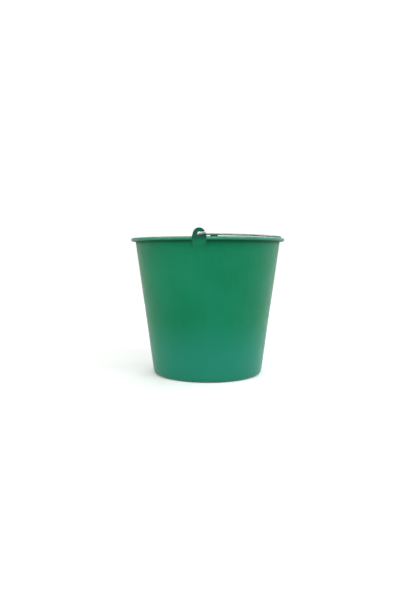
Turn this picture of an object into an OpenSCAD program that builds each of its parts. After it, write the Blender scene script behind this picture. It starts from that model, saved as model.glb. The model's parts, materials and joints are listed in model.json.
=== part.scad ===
// Florist bucket: a one-piece moulded shell with open hook ears, and a loose wire bail.
// Millimetres, +Z up. The origin is the centre of the base, on the floor.
// The ears stand at -Y and +Y, and the bail is drawn folded down on the rim at +X.

/* [Shell] */
// Height from the floor to the top of the rim
height = 266; // [220:2:300]
// Outside diameter of the rim
rim_d = 300; // [290:2:320]
// Outside diameter of the wall where it meets the rim
neck_d = 282.7; // [270:0.1:284]
// Outside diameter of the wall carried down to the floor, before the corner is rounded
base_d = 213.4; // [180:0.2:240]
// Thickness of the moulded wall
wall_t = 1.8; // [1.4:0.1:2.6]
// Thickness of the floor panel
floor_t = 2.2; // [1.8:0.1:3]

/* [Rim] */
// Height of the rim, from the lower edge of its skirt to its top
rim_h = 6; // [5:0.5:9]
// Thickness of the flange and of its skirt
rim_t = 2.2; // [1.8:0.1:2.8]
// Radius of the rounded outer edge
rim_round = 3; // [2.4:0.1:4]

/* [Foot] */
// Height of the foot ring under the floor panel
foot_h = 3; // [2:0.5:6]
// Radius of the outer bottom corner
corner_r = 9; // [4:0.5:11]

/* [Ears] */
// Radius of an ear's rounded top
ear_r = 10.9; // [9.5:0.1:12.5]
// Height above the rim of the centre of that rounded top
ear_rise = 3.9; // [3.5:0.1:5]
// Half the width of an ear at the rim
ear_half_w = 12.5; // [11.5:0.5:15]
// Thickness of an ear plate
ear_t = 4.6; // [4:0.1:5]
// Radius of the eye that holds the wire
eye_r = 3.1; // [2.9:0.1:3.6]
// Height of the eye's centre above the rim
eye_rise = 4.9; // [4.6:0.1:5.5]
// Height of the slot that lets the wire into the eye
slot_h = 2.4; // [2:0.1:3]
// Height of the gusset below the rim's skirt
gusset_h = 16; // [10:1:30]

/* [Bail] */
// Diameter of the wire
wire_d = 3.2; // [2.8:0.1:3.4]
// Distance from the pivot axis to the crown of the bail
bail_depth = 142.8; // [142:0.1:144.5]
// Length of the hook leg that lies on the ear's outer face
hook_leg = 9; // [5:0.5:10]

/* [Hidden] */
$fn = 96;

// Wall line: the outer radius grows evenly from the floor to the neck.
rim_r = rim_d / 2;
neck_z = height - rim_h;
slope = (neck_d - base_d) / 2 / neck_z;
lean = atan(slope);
function wall_r(z) = base_d / 2 + slope * z;
function inner_r(z) = wall_r(z) - wall_t / cos(lean);

// Base
foot_w = 4.2;
foot_draft = 1.2;
floor_z = foot_h + floor_t;
inner_corner_r = 7;
gate_r = 4;
gate_h = 0.8;

// Rim
lip_round = 0.7;
edge_round = 1.8;
skirt_tilt = 15;
channel_fillet = 1.2;
arc_steps = 8;

// Ears
ear_z = height + ear_rise;
eye_z = height + eye_rise;
ear_face_y = rim_r + 0.4;
ear_back_y = ear_face_y - ear_t;
slot_tilt = 5;
// Seen along the slot from the centre of the rounded top: the slot's upper edge runs a little under the
// eye's top, and the hook's tip is a bead that stands slightly proud of that edge and the rounded top.
slot_drop = 0.9;
slot_top = (eye_rise - ear_rise) * cos(slot_tilt) + eye_r - slot_drop;
proud = 0.1;
tip_r = 1.1;
tip_y = slot_top + tip_r - proud;
tip_x = sqrt(pow(ear_r - tip_r + proud, 2) - pow(tip_y, 2));
gusset_foot_half_w = 8.5;
gusset_root = 0.9;
straight_face = 1;

// Bail
wire_r = wire_d / 2;
play = 0.2;
side_gap = 0.6;
rest_gap = 0.25;
pivot_z = eye_z - eye_r + wire_r + play;
bend_r = 2 * wire_r;
arm_y = ear_back_y - side_gap - wire_r;
leg_y = ear_face_y + side_gap + wire_r;
leg_rise = 10;
rest_tilt = asin((pivot_z - height - wire_r - rest_gap) / bail_depth);
// Two quarter circles and a short straight crown make up the bow.
bow_r = bail_depth - bend_r;
crown_half = arm_y - bow_r;

// Points of an arc round [r, z], from angle a to angle b.
function arc(r, z, radius, a, b) = [
    for (i = [0:arc_steps])
        let (t = a + (b - a) * i / arc_steps)
        [r + radius * cos(t), z + radius * sin(t)]
];

// Centre radius of an arc of that radius which touches the outer wall line at height z.
function on_outer_wall(z, radius) = wall_r(z + radius * sin(lean)) + radius * cos(lean);

// Half section of the shell, from the axis round the outside and back along the inside.
module shell_section() {
    foot_r = wall_r(0) - corner_r * (1 - sin(lean)) / cos(lean);
    inner_z = floor_z + inner_corner_r;
    inner_corner = inner_r(inner_z - inner_corner_r * sin(lean)) - inner_corner_r * cos(lean);
    edge_z = height - edge_round;
    edge_centre = inner_r(edge_z + edge_round * sin(lean)) + edge_round * cos(lean);
    flange_z = height - rim_t;
    nose_r = rim_r - rim_round;
    nose_z = height - rim_round;
    skirt_r = rim_r - rim_t;
    neck_fillet_z = flange_z - channel_fillet;
    polygon(concat(
        [[0, foot_h - gate_h], [gate_r, foot_h - gate_h], [gate_r + gate_h, foot_h]],
        [[foot_r - foot_w - foot_draft, foot_h], [foot_r - foot_w, 0]],
        arc(foot_r, corner_r, corner_r, -90, -lean),
        arc(on_outer_wall(neck_fillet_z, channel_fillet), neck_fillet_z,
            channel_fillet, 180 - lean, 90),
        arc(skirt_r - channel_fillet, neck_fillet_z, channel_fillet, 90, 0),
        arc(skirt_r + lip_round, neck_z + lip_round, lip_round, 180, 270),
        arc(rim_r - 2 * lip_round, neck_z + lip_round, lip_round, -90, -skirt_tilt),
        arc(nose_r, nose_z, rim_round, -skirt_tilt, 90),
        arc(edge_centre, edge_z, edge_round, 90, 180 - lean),
        arc(inner_corner, inner_z, inner_corner_r, -lean, -90),
        [[0, floor_z]]
    ));
}

// Front view of an ear: a rounded tab with an eye, and a slot that opens towards +X.
module ear_front() {
    reach = norm([ear_half_w, ear_rise]);
    tangent_a = acos(ear_r / reach) - atan(ear_rise / ear_half_w);
    shoulder = [ear_r * cos(tangent_a), ear_z + ear_r * sin(tangent_a)];
    slot_mid = slot_top - slot_h / 2;
    difference() {
        union() {
            translate([0, ear_z]) circle(r = ear_r);
            polygon([
                [-ear_half_w, neck_z], [ear_half_w, neck_z], [ear_half_w, height],
                shoulder, [-shoulder[0], shoulder[1]], [-ear_half_w, height]
            ]);
        }
        translate([0, eye_z]) circle(r = eye_r);
        translate([0, ear_z]) rotate(slot_tilt) {
            translate([0, slot_top - slot_h]) square([2 * ear_r, slot_h]);
            polygon([[tip_x, slot_mid], [tip_x, tip_y], [2 * tip_x, 2 * tip_y], [2 * ear_r, slot_mid]]);
        }
    }
    translate([0, ear_z]) rotate(slot_tilt) translate([tip_x, tip_y]) circle(r = tip_r);
}

// Side view of the gusset that carries an ear: outward from the axis, and up.
module gusset_side() {
    foot_z = neck_z - gusset_h;
    top_z = height - rim_t / 2;
    polygon([
        [wall_r(foot_z) - gusset_root, foot_z],
        [wall_r(foot_z), foot_z],
        [ear_face_y, neck_z - straight_face],
        [ear_face_y, top_z],
        [wall_r(top_z) - gusset_root, top_z]
    ]);
}

// Front view of the gusset, which narrows downwards.
module gusset_front() {
    foot_z = neck_z - gusset_h;
    polygon([
        [-gusset_foot_half_w, foot_z], [gusset_foot_half_w, foot_z],
        [ear_half_w, neck_z - straight_face], [ear_half_w, height],
        [-ear_half_w, height], [-ear_half_w, neck_z - straight_face]
    ]);
}

// One ear at -Y, with its gusset.
module ear() {
    translate([0, -ear_back_y, 0]) rotate([90, 0, 0])
        linear_extrude(ear_t) ear_front();
    intersection() {
        rotate([90, 0, 0]) linear_extrude(rim_d) gusset_front();
        translate([-rim_r, 0, 0]) rotate([90, 0, -90]) mirror([0, 0, 1])
            linear_extrude(rim_d) gusset_side();
    }
}

module bucket_shell() {
    color("seagreen") union() {
        rotate_extrude($fn = 180) shell_section();
        for (side = [0, 1]) mirror([0, side, 0]) ear();
    }
}

// A stretch of bent wire in the XY plane: it turns round [0, 0] at that radius.
module wire_arc(radius, from, to) {
    rotate([0, 0, from]) rotate_extrude(angle = to - from, $fn = 180)
        translate([radius, 0]) circle(d = wire_d, $fn = 32);
}

// The end of the bail at -Y: in through the eye, and back along the ear's outer face.
module hook_end() {
    through_y = leg_y - bend_r;
    translate([bend_r, -arm_y - bend_r, 0]) wire_arc(bend_r, 90, 180);
    translate([0, -arm_y - bend_r, 0]) rotate([90, 0, 0])
        cylinder(d = wire_d, h = through_y - arm_y - bend_r, $fn = 32);
    translate([0, -through_y, 0]) rotate([0, -leg_rise, 0]) {
        translate([bend_r, 0, 0]) wire_arc(bend_r, 180, 270);
        translate([bend_r, -bend_r, 0]) rotate([0, 90, 0])
            cylinder(d = wire_d, h = hook_leg, $fn = 32);
    }
}

module wire_bail() {
    color("silver") translate([0, 0, pivot_z]) rotate([0, rest_tilt, 0]) {
        translate([bail_depth, crown_half, 0]) rotate([90, 0, 0])
            cylinder(d = wire_d, h = 2 * crown_half, $fn = 32);
        for (side = [0, 1]) mirror([0, side, 0]) {
            translate([bend_r, -crown_half, 0]) wire_arc(bow_r, -90, 0);
            hook_end();
        }
    }
}

bucket_shell();
wire_bail();
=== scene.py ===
"""A florist bucket: a moulded green plastic shell with two hook ears, and a loose galvanised wire bail.

Sizes are in millimetres, and MM turns them into Blender's metres. The stage, lights and camera are in
metres. The frame's +Z is up, the ears stand at -Y and +Y, and the bail lies folded on the +X half of the rim.
"""

import json
import math

import bmesh
import bpy
import numpy as np
from mathutils import Matrix, Vector


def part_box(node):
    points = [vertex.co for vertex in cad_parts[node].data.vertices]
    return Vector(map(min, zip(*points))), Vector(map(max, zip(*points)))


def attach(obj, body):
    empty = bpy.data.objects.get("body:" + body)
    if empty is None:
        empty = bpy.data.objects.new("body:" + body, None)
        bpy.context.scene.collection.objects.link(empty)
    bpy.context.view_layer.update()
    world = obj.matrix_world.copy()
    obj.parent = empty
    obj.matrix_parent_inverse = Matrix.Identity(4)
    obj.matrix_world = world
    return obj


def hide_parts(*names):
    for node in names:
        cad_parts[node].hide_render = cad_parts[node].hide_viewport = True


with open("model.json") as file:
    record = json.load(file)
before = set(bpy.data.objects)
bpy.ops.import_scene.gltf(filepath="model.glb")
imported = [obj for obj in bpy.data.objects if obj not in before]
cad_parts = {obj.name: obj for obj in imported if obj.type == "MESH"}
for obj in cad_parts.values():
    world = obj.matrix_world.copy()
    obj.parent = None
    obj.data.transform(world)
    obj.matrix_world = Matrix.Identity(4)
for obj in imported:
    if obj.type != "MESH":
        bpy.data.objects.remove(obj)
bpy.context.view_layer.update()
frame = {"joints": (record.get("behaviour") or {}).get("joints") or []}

MM = 0.001


# ---------------------------------------------------------------- sizes

def frame_mm(node):
    """A node's highest corner, in millimetres, to the nearest tenth."""
    return [round(value / MM, 1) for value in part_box(node)[1]]


RIM_R, EAR_FACE, EAR_TOP = frame_mm("bucket_shell")
WIRE_X, WIRE_Y = frame_mm("wire_bail")[:2]
PIVOT_Z = frame["joints"][0]["pos_m"][2] / MM

# Ears. The ear's arc and the eye are centred EAR_RISE and EYE_RISE above the rim. The slot's top lies
# SLOT_DROP below the eye's, and the tip over it stands TIP_PROUD past the ear's arc.
EAR_R = 10.9
EAR_RISE = 3.9
EAR_HALF_W = 12.5
EAR_T = 4.6
EYE_R = 3.1
EYE_RISE = 4.9
SLOT_H = 2.4
SLOT_DROP = 0.9
SLOT_TILT = math.radians(5)
TIP_R = 1.1
TIP_PROUD = 0.1
EAR_EDGE = 0.5

# Shell. The wall's outer line runs from BASE_R at the ground to NECK_R at the skirt's lower edge.
RIM_TOP = EAR_TOP - EAR_RISE - EAR_R
RIM_H = 6.0
RIM_T = 2.2
NECK_R = 141.35
BASE_R = 106.7
WALL_T = 1.8
FLOOR_T = 2.2
FOOT_H = 3.0
FOOT_W = 4.2
CORNER_R = 9.0
INNER_CORNER_R = 7.0
NECK_Z = RIM_TOP - RIM_H
SLOPE = (NECK_R - BASE_R) / NECK_Z
LEAN = math.atan(SLOPE)

# Gussets under the ears. From BLEND_FOOT_Z up, the shell's surface is drawn up to them.
GUSSET_H = 16.0
GUSSET_FOOT_HALF_W = 8.5
GUSSET_TOP_Z = NECK_Z - 1
GUSSET_FOOT_Z = NECK_Z - GUSSET_H
GUSSET_RISE = GUSSET_TOP_Z - GUSSET_FOOT_Z
GUSSET_RUN = EAR_FACE - (BASE_R + SLOPE * GUSSET_FOOT_Z)
BLEND_FOOT_Z = GUSSET_FOOT_Z - 6

# Bail. ARM_GAP is between the bow and an ear's back, and REST_GAP between the folded bow and the rim.
WIRE_R = 1.6
BEND_R = 2 * WIRE_R
HOOK_LEG = 9.0
LEG_RISE = math.radians(10)
LEG_Y = WIRE_Y - WIRE_R
ARM_GAP = 0.6
ARM_Y = EAR_FACE - EAR_T - ARM_GAP - WIRE_R
BAIL_DEPTH = WIRE_X - WIRE_R
REST_GAP = 0.25
REST_TILT = math.asin((PIVOT_Z - RIM_TOP - WIRE_R - REST_GAP) / BAIL_DEPTH)
WIRE_CHAMFER = 0.35
WIRE_SIDES = 24

# Mesh spacing of the shell, in millimetres up it and in degrees round it
CLOSE_ROW, WIDE_ROW = 0.5, 11.0
CLOSE_COLUMN, WIDE_COLUMN = 0.1, 1.5


def wall_r(z):
    """Outer radius of the wall at height z."""
    return BASE_R + SLOPE * z


def inner_r(z):
    """Inner radius of the wall at height z."""
    return wall_r(z) - WALL_T / math.cos(LEAN)


# ---------------------------------------------------------------- mesh helpers

def arc(x, y, radius, start, end, steps):
    """Points of an arc in a plane, angles in degrees."""
    angles = np.radians(np.linspace(start, end, steps + 1))
    return [(x + radius * math.cos(a), y + radius * math.sin(a)) for a in angles]


def unit(vectors):
    """The same vectors, each of length 1."""
    return vectors / np.linalg.norm(vectors, axis=1)[:, None]


def distances(points):
    """How far along a path each of its points lies."""
    return np.concatenate([[0], np.cumsum(np.linalg.norm(np.diff(points, axis=0), axis=1))])


def resample(loop, spacing):
    """Points spaced evenly round a closed outline, and the exact gap between them."""
    closed = np.vstack([loop, loop[:1]])
    length = distances(closed)
    count = int(length[-1] / spacing)
    along = np.linspace(0, length[-1], count, endpoint=False)
    return np.stack([np.interp(along, length, closed[:, i]) for i in (0, 1)], axis=1), length[-1] / count


def smooth_loop(points, width, spacing):
    """A closed outline, evenly spaced, with its corners rounded by a running average."""
    fine_gap = 0.05
    fine, step = resample(np.asarray(points, float), fine_gap)
    reach = int(4 * width / step)
    kernel = np.exp(-0.5 * (np.arange(-reach, reach + 1) * step / width) ** 2)
    kernel /= kernel.sum()
    wrapped = np.vstack([fine[-reach:], fine, fine[:reach]])
    fine = np.stack([np.convolve(wrapped[:, i], kernel, mode="valid") for i in (0, 1)], axis=1)
    return resample(fine, spacing)[0]


def add_piece(mesh, body, material, replaced=None):
    """Shows a mesh, smooth-shaded, as a piece of its own name that rides on a body."""
    mesh.polygons.foreach_set("use_smooth", [True] * len(mesh.polygons))
    mesh.materials.append(material)
    mesh.update()
    piece = bpy.data.objects.new(mesh.name, mesh)
    bpy.context.scene.collection.objects.link(piece)
    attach(piece, body)
    if replaced:
        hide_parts(replaced)
    return piece


def mesh_from(name, points, faces):
    """A mesh of points given in millimetres."""
    mesh = bpy.data.meshes.new(name)
    mesh.from_pydata([tuple(p) for p in np.asarray(points) * MM], [], faces)
    return mesh


# ---------------------------------------------------------------- shell: lathe with two blended ears

def on_outer_wall(z, radius):
    """Centre radius of an arc of that radius that touches the outer wall line at height z."""
    return wall_r(z + radius * math.sin(LEAN)) + radius * math.cos(LEAN)


def shell_profile():
    """Half section of the shell, from the axis round the outside and back along the inside.

    Each entry is (r, z, zone). The zone says how the surface blends into an ear. The first points
    are the gate's nub on its pad and a shallow ring, under the floor.
    """
    lean = math.degrees(LEAN)
    foot_r = BASE_R - CORNER_R * (1 - math.sin(LEAN)) / math.cos(LEAN)
    foot_in = foot_r - FOOT_W
    fillet = 1.2
    fillet_z = RIM_TOP - RIM_T - fillet
    fillet_r = on_outer_wall(fillet_z, fillet)
    skirt_in = RIM_R - RIM_T
    lip = 0.7
    nose = 3.0
    edge = 1.8
    edge_z = RIM_TOP - edge
    edge_r = inner_r(edge_z + edge * math.sin(LEAN)) + edge * math.cos(LEAN)
    inside_z = FOOT_H + FLOOR_T + INNER_CORNER_R
    inside_r = inner_r(inside_z - INNER_CORNER_R * math.sin(LEAN)) - INNER_CORNER_R * math.cos(LEAN)
    pad_z = FOOT_H - 0.8
    gate_z = pad_z - 0.35
    pad_edge = 0.25
    ring_z = FOOT_H + 0.3
    foot_fillet = 0.6
    foot_edge = 0.5
    parts = [
        ("under", [(0, gate_z), (1.1, gate_z), (1.4, pad_z - 0.1), (1.7, pad_z)]),
        ("under", [(3.8, pad_z)] + arc(4.6, FOOT_H - pad_edge, pad_edge, 180, 90, 3)),
        ("under", [(60, FOOT_H), (60.4, ring_z), (62.6, ring_z), (63, FOOT_H)]),
        ("under", arc(foot_in - 1 - foot_fillet, FOOT_H - foot_fillet, foot_fillet, 90, 20, 4)),
        ("under", arc(foot_in + foot_edge, foot_edge, foot_edge, 200, 270, 4)),
        ("under", arc(foot_r, CORNER_R, CORNER_R, -90, -lean, 14)),
        ("wall", arc(fillet_r, fillet_z, fillet, 180 - lean, 90, 6)),
        ("channel", arc(skirt_in - fillet, fillet_z, fillet, 90, 0, 6)),
        ("channel", arc(skirt_in + lip, NECK_Z + lip, lip, 180, 270, 5)),
        ("nose", arc(RIM_R - 2 * lip, NECK_Z + lip, lip, -90, -15, 5)),
        ("nose", arc(RIM_R - nose, RIM_TOP - nose, nose, -15, 90, 14)),
        ("flange", arc(edge_r, edge_z, edge, 90, 180 - lean, 8)),
        ("inside", arc(inside_r, inside_z, INNER_CORNER_R, -lean, -90, 10)),
        ("inside", [(0, FOOT_H + FLOOR_T)]),
    ]
    points = []
    for zone, piece in parts:
        points += [(r, z, zone) for r, z in piece]
    return refine(points)


def refine(points):
    """Adds points along the straight stretches: one near each end, and the rest close only near the ears."""
    end_gap = 0.45
    out = [points[0]]
    for (r0, z0, _), (r1, z1, zone) in zip(points, points[1:]):
        length = math.hypot(r1 - r0, z1 - z0)
        marks = []
        if length > 4 * end_gap:
            marks = [end_gap]
            while marks[-1] < length - end_gap:
                z = z0 + (z1 - z0) * marks[-1] / length
                beside_ear = zone == "wall" and z > BLEND_FOOT_Z
                close = beside_ear or zone in ("nose", "flange")
                marks.append(marks[-1] + (CLOSE_ROW if close else WIDE_ROW))
            marks[-1] = length - end_gap
            if len(marks) > 2 and marks[-1] - marks[-2] < end_gap:
                marks.pop(-2)
        for mark in marks:
            t = mark / length
            out.append((r0 + (r1 - r0) * t, z0 + (z1 - z0) * t, zone))
        out.append((r1, z1, zone))
    return out


def column_angles():
    """Angles of the shell's mesh columns: closest at the ears' sides, wider apart between the ears."""
    side_start, side_end = 2.7, 5.95
    offsets = list(np.arange(0, side_start - 0.1, 3 * CLOSE_COLUMN))
    offsets += list(np.arange(side_start, side_end, CLOSE_COLUMN))
    step = CLOSE_COLUMN
    while step < WIDE_COLUMN:
        step = min(WIDE_COLUMN, step * 1.3)
        offsets.append(offsets[-1] + step)
    rest = 90 - offsets[-1]
    count = math.ceil(rest / WIDE_COLUMN)
    offsets += [offsets[-1] + rest * (i + 1) / count for i in range(count)]
    quarter = np.array(offsets)
    half = np.concatenate([quarter, 180 - quarter[-2::-1]])
    whole = np.concatenate([half, 180 + half[1:-1]])
    return np.radians(whole - 90)


def ear_distance(x, u, z, filled):
    """Distance from an ear's faces, negative inside it. u is the distance out from the shell's axis.

    A filled ear reaches back through the shell, as its gusset does. Otherwise it ends at its back face.
    """
    taper = np.clip((z - GUSSET_FOOT_Z) / GUSSET_RISE, -0.3, 1)
    half_w = GUSSET_FOOT_HALF_W + (EAR_HALF_W - GUSSET_FOOT_HALF_W) * taper
    side = np.abs(x) - half_w
    face = u - EAR_FACE
    slant = (face * GUSSET_RISE - (z - GUSSET_TOP_Z) * GUSSET_RUN) / math.hypot(GUSSET_RUN, GUSSET_RISE)
    nearest = np.maximum(np.maximum(side, face), slant)
    return nearest if filled else np.maximum(nearest, EAR_FACE - EAR_T - u)


def blend_height(point, normal, blend, sunk, limit, filled):
    """How far a point of the shell moves out along its normal to meet the ear in a smooth fillet.

    It halves the range between 0 and limit until the fillet's surface is found.
    """
    halvings = 24
    low = np.zeros(len(point))
    high = np.full(len(point), limit)
    for _ in range(halvings):
        middle = (low + high) / 2
        moved = point + normal * middle[:, None]
        other = ear_distance(moved[:, 0], np.abs(moved[:, 1]), moved[:, 2], filled) + sunk
        overlap = np.maximum(blend - np.abs(middle - other), 0) / blend
        inside = np.minimum(middle, other) - overlap ** 2 * blend / 4 < 0
        low = np.where(inside, middle, low)
        high = np.where(inside, high, middle)
    return np.where(low < 1e-4, 0, low)


# Zone of the profile: blend width, depth under the ear's own surface, greatest height, filled or not.
BLENDS = {
    "wall": (3.0, 0.12, 3.0, True),
    "nose": (0.8, 0.1, 0.7, True),
    "flange": (1.4, 0.1, 2.0, False),
}


def make_shell(material):
    """The lathed shell, from the profile turned round the axis, with its surface drawn up to the ears."""
    profile = shell_profile()
    line = np.array([(r, z) for r, z, _ in profile])
    zones = [zone for _, _, zone in profile]
    tangent = unit(np.gradient(line, axis=0))
    line_normal = np.stack([tangent[:, 1], -tangent[:, 0]], axis=1)
    angles = column_angles()
    cos, sin = np.cos(angles), np.sin(angles)
    grid = np.empty((len(line), len(angles), 3))
    for i, ((r, z), (out, up)) in enumerate(zip(line, line_normal)):
        warp = wall_warp(angles, z) if zones[i] in ("wall", "inside") else 0
        point = np.stack([(r + warp) * cos, (r + warp) * sin, np.full(len(angles), z)], axis=1)
        normal = np.stack([out * cos, out * sin, np.full(len(angles), up)], axis=1)
        if zones[i] in BLENDS and z > BLEND_FOOT_Z:
            point += normal * blend_height(point, normal, *BLENDS[zones[i]])[:, None]
        grid[i] = point
    rows, columns = grid.shape[:2]
    points = np.vstack([grid[:1, 0], grid[1:-1].reshape(-1, 3), grid[-1:, 0]])
    last = len(points) - 1

    def index(row, column):
        return 1 + (row - 1) * columns + column % columns

    faces = []
    for c in range(columns):
        faces.append((0, index(1, c + 1), index(1, c)))
        faces.append((last, index(rows - 2, c), index(rows - 2, c + 1)))
        for r in range(1, rows - 2):
            faces.append((index(r, c), index(r, c + 1), index(r + 1, c + 1), index(r + 1, c)))
    mesh = mesh_from("bucket_moulding", points, faces)
    add_piece(mesh, "bucket", material, "bucket_shell")


def wall_warp(angles, z):
    """The slight unevenness of a thin wall as it cools, nothing at the foot and the rim."""
    foot, top = 12, GUSSET_FOOT_Z - 10
    fade = math.sin(math.pi * min(1, max(0, (z - foot) / (top - foot)))) ** 2
    waves = 0.12 * np.sin(3 * angles + 0.9 + z / 90) + 0.07 * np.sin(7 * angles - z / 60)
    return fade * waves


def ear_outline():
    """Front view of an ear and its gusset, as a closed outline of (x, z)."""
    reach = math.hypot(EAR_HALF_W, EAR_RISE)
    tangent = math.degrees(math.acos(EAR_R / reach) - math.atan(EAR_RISE / EAR_HALF_W))
    ear_z = RIM_TOP + EAR_RISE
    eye = (EYE_RISE - EAR_RISE) * math.sin(SLOT_TILT), (EYE_RISE - EAR_RISE) * math.cos(SLOT_TILT)
    slot_top = eye[1] + EYE_R - SLOT_DROP
    slot_bottom = slot_top - SLOT_H
    tip_y = slot_top + TIP_R - TIP_PROUD
    tip_x = math.sqrt((EAR_R - TIP_R + TIP_PROUD) ** 2 - tip_y ** 2)
    tip_turn = math.degrees(math.atan2(tip_y, tip_x))
    eye_start = math.degrees(math.asin((slot_top - eye[1]) / EYE_R))
    eye_end = 360 + math.degrees(math.asin((slot_bottom - eye[1]) / EYE_R))
    turn = math.degrees(SLOT_TILT)
    side_turn = math.radians(tangent) - SLOT_TILT
    lip_x = (EAR_R - slot_bottom * math.sin(side_turn)) / math.cos(side_turn)

    def turned(points):
        c, s = math.cos(SLOT_TILT), math.sin(SLOT_TILT)
        return [(x * c - y * s, ear_z + x * s + y * c) for x, y in points]

    left = [(-GUSSET_FOOT_HALF_W, GUSSET_FOOT_Z), (-EAR_HALF_W, GUSSET_TOP_Z), (-EAR_HALF_W, RIM_TOP)]
    right = [(-x, z) for x, z in reversed(left)]
    crown = arc(0, ear_z, EAR_R, 180 - tangent, tip_turn + turn, 60)
    tip = turned(arc(tip_x, tip_y, TIP_R, tip_turn, -90, 16))
    inside = turned(arc(eye[0], eye[1], EYE_R, eye_start, eye_end, 60))
    lip = turned([(lip_x, slot_bottom)])
    return left + crown + tip + inside + lip + right


def ear_front(z):
    """How far out an ear's front face stands at height z: upright, then slanting in to the wall."""
    softness = 0.9
    below = (GUSSET_TOP_Z - z) / softness
    return EAR_FACE - GUSSET_RUN / GUSSET_RISE * softness * np.logaddexp(0, below)


def ear_back(z):
    """How far out an ear's back stands: upright above the flange, sunk in the wall below it."""
    turn_z, turn_h = RIM_TOP - 1.6, 1.2
    above = np.clip((z - turn_z) / turn_h, 0, 1)
    return above * (EAR_FACE - EAR_T) + (1 - above) * (wall_r(z) - WALL_T / 2)


def make_ear(name, side, material):
    """One ear with its gusset: the outline, thickened, with rounded edges front and back."""
    outline = smooth_loop(ear_outline(), width=0.75, spacing=0.36)
    ahead = np.roll(outline, -1, axis=0) - np.roll(outline, 1, axis=0)
    inward = unit(np.stack([ahead[:, 1], -ahead[:, 0]], axis=1))
    if np.sum(inward * (outline.mean(axis=0) - outline)) < 0:
        inward = -inward
    quarter = [math.pi / 2 * i / 4 for i in range(5)]
    rings = [(EAR_EDGE * (1 - math.sin(a)), EAR_EDGE * (1 - math.cos(a))) for a in quarter]
    rings += [(inset, EAR_T - depth) for inset, depth in reversed(rings)]
    shape = bmesh.new()
    loops = []
    for inset, depth in rings:
        at = outline + inward * inset
        loops.append([shape.verts.new((x, depth, z)) for x, z in at])
    count = len(outline)
    for low, high in zip(loops, loops[1:]):
        for i in range(count):
            j = (i + 1) % count
            shape.faces.new((low[i], low[j], high[j], high[i]))
    caps = [shape.faces.new(loops[0][::-1]), shape.faces.new(loops[-1])]
    shape.normal_update()
    bmesh.ops.triangulate(shape, faces=caps)
    bend_z = GUSSET_TOP_Z - 2
    cuts = [*np.arange(GUSSET_FOOT_Z + 2, bend_z, 1.5), *np.arange(bend_z, RIM_TOP + 1, CLOSE_ROW)]
    for z in cuts:
        everything = shape.verts[:] + shape.edges[:] + shape.faces[:]
        bmesh.ops.bisect_plane(shape, geom=everything, plane_co=(0, 0, z), plane_no=(0, 0, 1))
    bmesh.ops.remove_doubles(shape, verts=shape.verts, dist=0.002)
    for vert in shape.verts:
        x, depth, z = vert.co
        u = ear_front(z) - depth if depth < EAR_T / 2 else ear_back(z) + (EAR_T - depth)
        vert.co = (x, side * u, z)
    bmesh.ops.recalc_face_normals(shape, faces=shape.faces)
    bmesh.ops.scale(shape, vec=(MM, MM, MM), verts=shape.verts)
    mesh = bpy.data.meshes.new(name)
    shape.to_mesh(mesh)
    shape.free()
    ear = add_piece(mesh, "bucket", material)
    weighted = ear.modifiers.new("even_normals", "WEIGHTED_NORMAL")
    weighted.mode = "FACE_AREA"
    weighted.weight = 80


# ---------------------------------------------------------------- bail: one bent wire

def bail_path():
    """Centre line of the wire, from one cut end to the other, about the pivot."""
    bow_r = BAIL_DEPTH - BEND_R
    crown_half = ARM_Y - bow_r
    through_y = LEG_Y - BEND_R
    leg = [(BEND_R + HOOK_LEG, -BEND_R), (BEND_R + 0.5 * HOOK_LEG, -BEND_R)]
    hook = leg + arc(BEND_R, 0, BEND_R, 270, 180, 10)
    c, s = math.cos(LEG_RISE), math.sin(LEG_RISE)
    half = [(x * c, -through_y + y, x * s) for x, y in hook]
    bend = arc(BEND_R, -ARM_Y - BEND_R, BEND_R, 180, 90, 10)
    bow = arc(BEND_R, -crown_half, bow_r, -90, 0, 64)
    half += [(x, y, 0) for x, y in bend + bow[1:]]
    return np.array(half + [(x, -y, z) for x, y, z in reversed(half)])


def make_bail(material):
    """The wire: a round section carried along the path, with chamfered ends and a map that runs along it."""
    tilt = np.array(Matrix.Rotation(REST_TILT, 3, "Y"))
    path = bail_path() @ tilt.T + [0, 0, PIVOT_Z]
    tangent = unit(np.gradient(path, axis=0))
    thin = WIRE_R - WIRE_CHAMFER
    first, last = tangent[0] * WIRE_CHAMFER, tangent[-1] * WIRE_CHAMFER
    stops = [(path[0], tangent[0], thin), (path[0] + first, tangent[0], WIRE_R)]
    stops += [(p, t, WIRE_R) for p, t in zip(path[1:-1], tangent[1:-1])]
    stops += [(path[-1] - last, tangent[-1], WIRE_R), (path[-1], tangent[-1], thin)]
    up = np.array([0.0, 0, 1])
    points, faces = [], []
    for place, ahead, radius in stops:
        up = up - ahead * (up @ ahead)
        up /= np.linalg.norm(up)
        across = np.cross(ahead, up)
        for i in range(WIRE_SIDES):
            a = 2 * math.pi * i / WIRE_SIDES
            points.append(place + radius * (across * math.cos(a) + up * math.sin(a)))
    for low in range(0, len(points) - WIRE_SIDES, WIRE_SIDES):
        for i in range(WIRE_SIDES):
            j = (i + 1) % WIRE_SIDES
            faces.append((low + i, low + j, low + WIRE_SIDES + j, low + WIRE_SIDES + i))
    faces.append(tuple(range(WIRE_SIDES))[::-1])
    faces.append(tuple(range(len(points) - WIRE_SIDES, len(points))))
    mesh = mesh_from("bail_wire", points, faces)
    along = distances([place for place, _, _ in stops]) * MM
    strip = mesh.uv_layers.new(name="strip")
    for face in mesh.polygons:
        corners = [divmod(mesh.loops[i].vertex_index, WIRE_SIDES) for i in face.loop_indices]
        sides = [side for _, side in corners]
        wraps = max(sides) - min(sides) > WIRE_SIDES / 2
        for i, (ring, side) in zip(face.loop_indices, corners):
            turn = 1 if wraps and side == 0 else side / WIRE_SIDES
            strip.data[i].uv = (turn, along[ring])
    add_piece(mesh, "bail", material, "wire_bail")


# ---------------------------------------------------------------- materials

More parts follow.
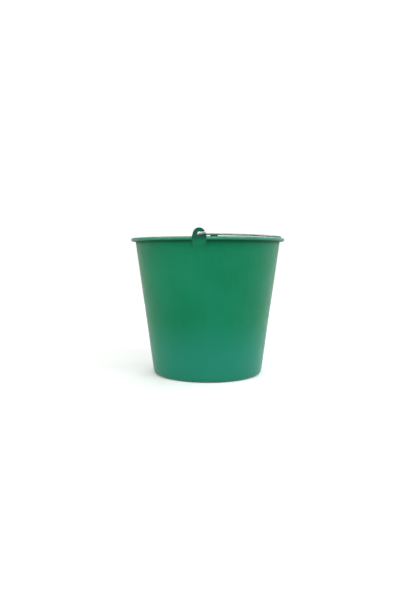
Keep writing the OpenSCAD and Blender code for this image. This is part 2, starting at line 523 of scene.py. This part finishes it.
class Nodes:
    """A short way to write a node tree."""

    def __init__(self, tree):
        self.tree = tree

    def feed(self, socket, value):
        """Links a socket to another node's output, or sets its value."""
        if isinstance(value, bpy.types.NodeSocket):
            self.tree.links.new(value, socket)
        else:
            socket.default_value = value

    def add(self, kind, inputs=None, **settings):
        node = self.tree.nodes.new(kind)
        for key, value in settings.items():
            setattr(node, key, value)
        for key, value in (inputs or {}).items():
            self.feed(node.inputs[key], value)
        return node

    def math(self, operation, *values, clamp=False):
        inputs = dict(enumerate(values))
        return self.add("ShaderNodeMath", inputs, operation=operation, use_clamp=clamp).outputs[0]

    def plus(self, value, term, amount, clamp=False):
        """The value and an amount of the term."""
        return self.math("MULTIPLY_ADD", term, amount, value, clamp=clamp)

    def hypot(self, a, b):
        return self.math("SQRT", self.math("ADD", self.math("MULTIPLY", a, a), self.math("MULTIPLY", b, b)))

    def noise(self, vector, scale, detail, roughness):
        inputs = {"Vector": vector, "Scale": scale, "Detail": detail, "Roughness": roughness}
        return self.add("ShaderNodeTexNoise", inputs).outputs["Fac"]

    def streaks(self, vector, stretch, detail, roughness):
        """Noise with a scale of its own along each axis."""
        node = self.add("ShaderNodeMapping", {"Vector": vector, "Scale": stretch})
        return self.noise(node.outputs["Vector"], 1.0, detail, roughness)

    def ramp(self, value, low, high, start=0.0, end=1.0):
        """The start below low and the end above high, smooth between."""
        inputs = {"Value": value, "From Min": low, "From Max": high, "To Min": start, "To Max": end}
        return self.add("ShaderNodeMapRange", inputs, interpolation_type="SMOOTHSTEP").outputs["Result"]

    def rise(self, value, low, high):
        """0 below low and 1 above high, for a length and limits in millimetres."""
        return self.ramp(value, low * MM, high * MM)

    def fall(self, value, low, high):
        """1 below low and 0 above high, for a length and limits in millimetres."""
        return self.math("SUBTRACT", 1.0, self.rise(value, low, high))

    def mix(self, factor, a, b):
        node = self.add("ShaderNodeMix", data_type="RGBA")
        for socket, value in ((0, factor), (6, a), (7, b)):
            self.feed(node.inputs[socket], value)
        return node.outputs[2]

    def tint(self, base, colour, mask, strength):
        """The base with some of the colour over it where the mask is 1."""
        return self.mix(self.math("MULTIPLY", mask, strength), base, colour)

    def position(self):
        """The position on the object, in metres."""
        return self.add("ShaderNodeTexCoord").outputs["Object"]

    def split(self, vector):
        """The X, Y and Z of a vector."""
        return tuple(self.add("ShaderNodeSeparateXYZ", {"Vector": vector}).outputs)

    def from_pivot(self, x, z):
        """Distance from the bail's hinge line."""
        return self.hypot(x, self.math("SUBTRACT", z, PIVOT_Z * MM))

    def bump(self, height, depth, strength, under=None):
        """A bumped normal. The depth is in millimetres."""
        inputs = {"Height": height, "Distance": depth * MM, "Strength": strength}
        if under:
            inputs["Normal"] = under
        return self.add("ShaderNodeBump", inputs).outputs["Normal"]


class Material(Nodes):
    """A new material's nodes, round its Principled shader."""

    def __init__(self, name):
        self.material = bpy.data.materials.new(name)
        self.material.use_nodes = True
        super().__init__(self.material.node_tree)
        self.shader = next(n for n in self.tree.nodes if n.type == "BSDF_PRINCIPLED")

    def into(self, socket, value):
        self.feed(self.shader.inputs[socket], value)


# Colours of the plastic
PIGMENT = (0.0044, 0.141, 0.058, 1), (0.0072, 0.165, 0.079, 1)
FLOW_MARK = 0.012, 0.182, 0.090, 1
# Painted light: the lower wall's lighter, more teal colour stands in for light bounced from the floor, and
# the upper wall's darker colour is painted shade under the rim.
LOWER_WALL_PAINTED_BOUNCE_LIGHT = 0.017, 0.196, 0.130, 1
UPPER_WALL_PAINTED_SHADE = 0.0050, 0.130, 0.050, 1
# Painted shade: the ears' darker green stands in for shade on their faces.
EAR_PAINTED_SHADE = 0.0075, 0.054, 0.036, 1
ZINC_SMEAR = 0.035, 0.060, 0.050, 1
# Painted shade in the crease under the rim.
UNDER_RIM_PAINTED_SHADE = 0.0008, 0.040, 0.016, 1
# A paler rub on the rim's outer curve, with a painted highlight.
RIM_RUB_AND_PAINTED_HIGHLIGHT = 0.105, 0.275, 0.210, 1
RUBBED_FOOT = 0.120, 0.270, 0.210, 1
SCUFF = 0.060, 0.260, 0.170, 1
SPECK = 0.004, 0.090, 0.045, 1

# Colours of the zinc
ZINC = (0.132, 0.182, 0.170, 1), (0.243, 0.308, 0.289, 1)
DRAWN_LINE = 0.098, 0.130, 0.122, 1
BLOOM = 0.330, 0.375, 0.360, 1
POLISHED = 0.300, 0.325, 0.314, 1


def plastic(name, ear=False):
    """Green polypropylene, satin as moulded, with flow marks, scuffs and rubbed edges, and painted light: a
    lighter lower wall, painted shade on the upper wall, under the rim and on the ears, and a painted
    highlight on the rim's rubbed outer curve.
    """
    n = Material(name)
    position = n.position()
    x, y, z = n.split(position)
    wrapped = n.add("ShaderNodeCombineXYZ", {"X": n.math("ARCTAN2", y, x), "Z": z}).outputs[0]

    # pigment: faint clouds and flow marks that run up from the gate; then painted light with height: the
    # lower wall lighter and more teal, as if lit by the floor, and the upper wall darker, painted shade from
    # the rim
    cloud = n.noise(position, 9.0, 3.0, 0.55)
    flow = n.streaks(wrapped, (26, 1, 5), 4.0, 0.6)
    base = n.mix(n.ramp(cloud, 0.3, 0.7), *PIGMENT)
    base = n.tint(base, FLOW_MARK, n.ramp(flow, 0.45, 0.78), 0.24)
    base = n.tint(base, LOWER_WALL_PAINTED_BOUNCE_LIGHT, n.fall(z, 30, 125), 0.85)
    base = n.tint(base, UPPER_WALL_PAINTED_SHADE, n.rise(z, 170, 250), 0.5)

    # wear: fine scuffs in patches and long scratches, mostly level as buckets are turned and slid
    fine = n.ramp(n.streaks(wrapped, (30, 1, 900), 5.0, 0.7), 0.56, 0.70)
    scuff = n.math("MULTIPLY", fine, n.ramp(n.noise(position, 16.0, 2.0, 0.5), 0.42, 0.66))
    drag = n.ramp(n.streaks(wrapped, (5, 1, 1500), 3.0, 0.6), 0.63, 0.72)
    scuff = n.plus(scuff, drag, n.math("MULTIPLY", n.ramp(cloud, 0.45, 0.7), 0.6))
    speck = n.ramp(n.noise(position, 420.0, 2.0, 0.6), 0.70, 0.78)
    rubbed = n.streaks(position, (70, 70, 260), 4.0, 0.65)
    foot = n.math("MULTIPLY", n.fall(z, 0.4, FOOT_H), n.plus(0.2, n.ramp(rubbed, 0.4, 0.65), 0.5))

    if ear:
        # painted shade: the ears' copy is darker above the rim's lower edge; near the pivot, zinc from the
        # wire greys it
        base = n.tint(base, EAR_PAINTED_SHADE, n.rise(z, NECK_Z - 4, NECK_Z + 4), 0.8)
        smear = n.fall(n.plus(n.from_pivot(x, z), rubbed, 0.004), 4.8, 8.5)
        base = n.tint(base, ZINC_SMEAR, smear, 0.45)
        shine = n.math("MULTIPLY", smear, -0.10)
    else:
        # painted shade in the crease under the rim, outside the wall, and a paler rub with a painted
        # highlight on the rim's outermost curve
        radius = n.hypot(x, y)
        past_wall = n.math("SUBTRACT", radius, n.plus((BASE_R - WALL_T / 2) * MM, z, SLOPE))
        painted_rim_shade = n.math("MULTIPLY", n.rise(past_wall, -0.3, 0.3), n.rise(z, NECK_Z - 7, NECK_Z - 1))
        painted_rim_shade = n.math("MULTIPLY", painted_rim_shade, n.fall(z, RIM_TOP - RIM_T, RIM_TOP - RIM_T + 0.4))
        painted_rim_shade = n.math("MULTIPLY", painted_rim_shade, n.fall(radius, RIM_R - 3.8, RIM_R - 2))
        base = n.tint(base, UNDER_RIM_PAINTED_SHADE, painted_rim_shade, 0.75)
        # painted highlight and rub: the rim's outer curve is made paler
        nose = n.math("MULTIPLY", n.rise(radius, RIM_R - 2, RIM_R - 0.6), n.rise(z, NECK_Z, RIM_TOP - 1.5))
        base = n.tint(base, RIM_RUB_AND_PAINTED_HIGHLIGHT, nose, n.plus(0.45, n.ramp(rubbed, 0.35, 0.7), 0.5))
        shine = n.math("MULTIPLY", painted_rim_shade, 0.15)
    base = n.tint(base, SCUFF, scuff, 0.5)
    base = n.tint(base, SPECK, speck, 0.25)
    n.into("Base Color", n.mix(foot, base, RUBBED_FOOT))

    # gloss: satin, duller where scuffed and rubbed
    rough = n.plus(0.25, n.noise(position, 55.0, 4.0, 0.6), 0.22)
    rough = n.plus(rough, flow, 0.06)
    rough = n.plus(rough, scuff, 0.22)
    rough = n.plus(rough, foot, 0.25)
    n.into("Roughness", n.math("ADD", rough, shine, clamp=True))
    n.into("IOR", 1.49)
    n.into("Specular IOR Level", 0.3)
    n.into("Specular Tint", (0.12, 0.85, 0.65, 1))

    # surface: slow ripples of a cooling wall, spark-eroded grain, scuffs cut in
    ripple = n.bump(n.noise(position, 24.0, 2.0, 0.5), 0.9, 0.5)
    grain = n.bump(n.noise(position, 1100.0, 2.0, 0.55), 0.03, 0.6, ripple)
    n.into("Normal", n.bump(scuff, 0.04, 0.7, grain))
    return n.material


def galvanised():
    """Zinc-coated wire: dull, cloudy, with drawing lines, and polished where it turns in the ears."""
    n = Material("galvanised_steel")
    position = n.position()
    x, _, z = n.split(position)
    polish = n.fall(n.from_pivot(x, z), 2, 6)
    lines = n.streaks(n.add("ShaderNodeUVMap").outputs["UV"], (14, 0.9, 1), 4.0, 0.7)
    cloud = n.noise(position, 240.0, 3.0, 0.6)
    bloom = n.ramp(n.noise(position, 60.0, 3.0, 0.6), 0.5, 0.7)
    base = n.mix(n.ramp(cloud, 0.35, 0.65), *ZINC)
    base = n.tint(base, DRAWN_LINE, n.ramp(lines, 0.5, 0.7), 0.4)
    base = n.tint(base, BLOOM, bloom, 0.35)
    n.into("Base Color", n.tint(base, POLISHED, polish, 0.6))
    n.into("Metallic", 1.0)
    rough = n.plus(0.30, cloud, 0.16)
    rough = n.plus(rough, bloom, 0.14)
    n.into("Roughness", n.plus(rough, polish, -0.14, clamp=True))
    drawn = n.bump(lines, 0.04, 0.5)
    n.into("Normal", n.bump(n.noise(position, 900.0, 2.0, 0.5), 0.03, 0.5, drawn))
    return n.material


# ---------------------------------------------------------------- stage, lights and camera, in metres

def make_floor():
    """A pale floor, which glows a little more with distance, so that it fades into the surround."""
    mesh = bpy.data.meshes.new("floor")
    half = 8.0
    corners = [(-half, -half, 0), (half, -half, 0), (half, half, 0), (-half, half, 0)]
    mesh.from_pydata(corners, [], [(0, 1, 2, 3)])
    floor = bpy.data.objects.new("floor", mesh)
    bpy.context.scene.collection.objects.link(floor)
    n = Material("pale_floor")
    reach = n.add("ShaderNodeVectorMath", {0: n.position()}, operation="LENGTH").outputs["Value"]
    n.into("Base Color", (0.88, 0.89, 0.91, 1))
    n.into("Roughness", 0.9)
    n.into("Specular IOR Level", 0.1)
    n.into("Emission Color", (1, 1, 1, 1))
    n.into("Emission Strength", n.plus(0.10, n.ramp(reach, 0.4, 2.4), 0.75))
    mesh.materials.append(n.material)


def make_surround():
    """A surround that the camera sees as white. It lights the object softly, and most from one side."""
    world = bpy.data.worlds.new("surround")
    bpy.context.scene.world = world
    world.use_nodes = True
    n = Nodes(world.node_tree)
    direction = n.add("ShaderNodeTexCoord").outputs["Generated"]
    bright_side = {0: direction, 1: (0.42, 0.907, 0)}
    toward = n.add("ShaderNodeVectorMath", bright_side, operation="DOT_PRODUCT").outputs["Value"]
    up = n.split(direction)[2]
    glow = n.math("MULTIPLY", n.ramp(toward, 0.1, 1.0, 0.28, 0.95), n.ramp(up, 0.1, 0.7, 1.0, 0.2))
    seen = n.add("ShaderNodeLightPath").outputs["Is Camera Ray"]
    back = world.node_tree.nodes["Background"]
    n.feed(back.inputs["Strength"], n.math("MAXIMUM", glow, seen))
    n.feed(back.inputs["Color"], (1, 1, 1, 1))


def softbox(name, azimuth, elevation, width, height, watts, colour=(1, 1, 1)):
    """A rectangular area light at some distance from the middle of the bucket, turned to face it."""
    distance, middle = 1.6, Vector((0, 0, 0.15))
    light = bpy.data.lights.new(name, "AREA")
    light.shape = "RECTANGLE"
    light.size, light.size_y = width, height
    light.energy = watts
    light.color = colour
    lamp = bpy.data.objects.new(name, light)
    a, e = math.radians(azimuth), math.radians(elevation)
    away = Vector((math.sin(a) * math.cos(e), -math.cos(a) * math.cos(e), math.sin(e)))
    lamp.location = middle + away * distance
    lamp.rotation_euler = (-away).to_track_quat("-Z", "Y").to_euler()
    bpy.context.scene.collection.objects.link(lamp)


def make_camera():
    """The view is almost level: a little below the rim, and turned a few degrees past the front ear."""
    distance, height, azimuth = 1.1186, 0.2336, math.radians(5.6)
    aim_left, aim_z = 0.01396, 0.1432
    away = Vector((math.sin(azimuth), -math.cos(azimuth), 0))
    left = Vector((-math.cos(azimuth), -math.sin(azimuth), 0))
    camera = bpy.data.cameras.new("camera")
    camera.lens = 33.71
    camera.sensor_width = 36
    camera.clip_start, camera.clip_end = 0.05, 50
    holder = bpy.data.objects.new("camera", camera)
    holder.location = away * distance + Vector((0, 0, height))
    aim = left * aim_left + Vector((0, 0, aim_z))
    holder.rotation_euler = (aim - holder.location).to_track_quat("-Z", "Y").to_euler()
    bpy.context.scene.collection.objects.link(holder)
    bpy.context.scene.camera = holder


make_shell(plastic("green_polypropylene"))
ear_plastic_painted_shade = plastic("green_polypropylene_ears_painted_shade", ear=True)
make_ear("front_ear", -1, ear_plastic_painted_shade)
make_ear("back_ear", 1, ear_plastic_painted_shade)
make_bail(galvanised())

make_floor()
make_surround()
softbox("front_bank", 2, 50, 2.0, 0.8, 20)
softbox("left_box", -68, 30, 0.8, 0.8, 6, (1, 0.96, 0.68))
softbox("low_left_box", -32, 9, 1.2, 0.3, 1.8)
softbox("right_box", 60, 40, 0.8, 0.8, 8, (0.9, 1, 1))
softbox("rear_right_box", 110, 30, 0.8, 0.8, 8)
softbox("rear_bank", 178, 38, 1.8, 0.8, 15)
make_camera()
bpy.context.scene.view_settings.view_transform = "Standard"
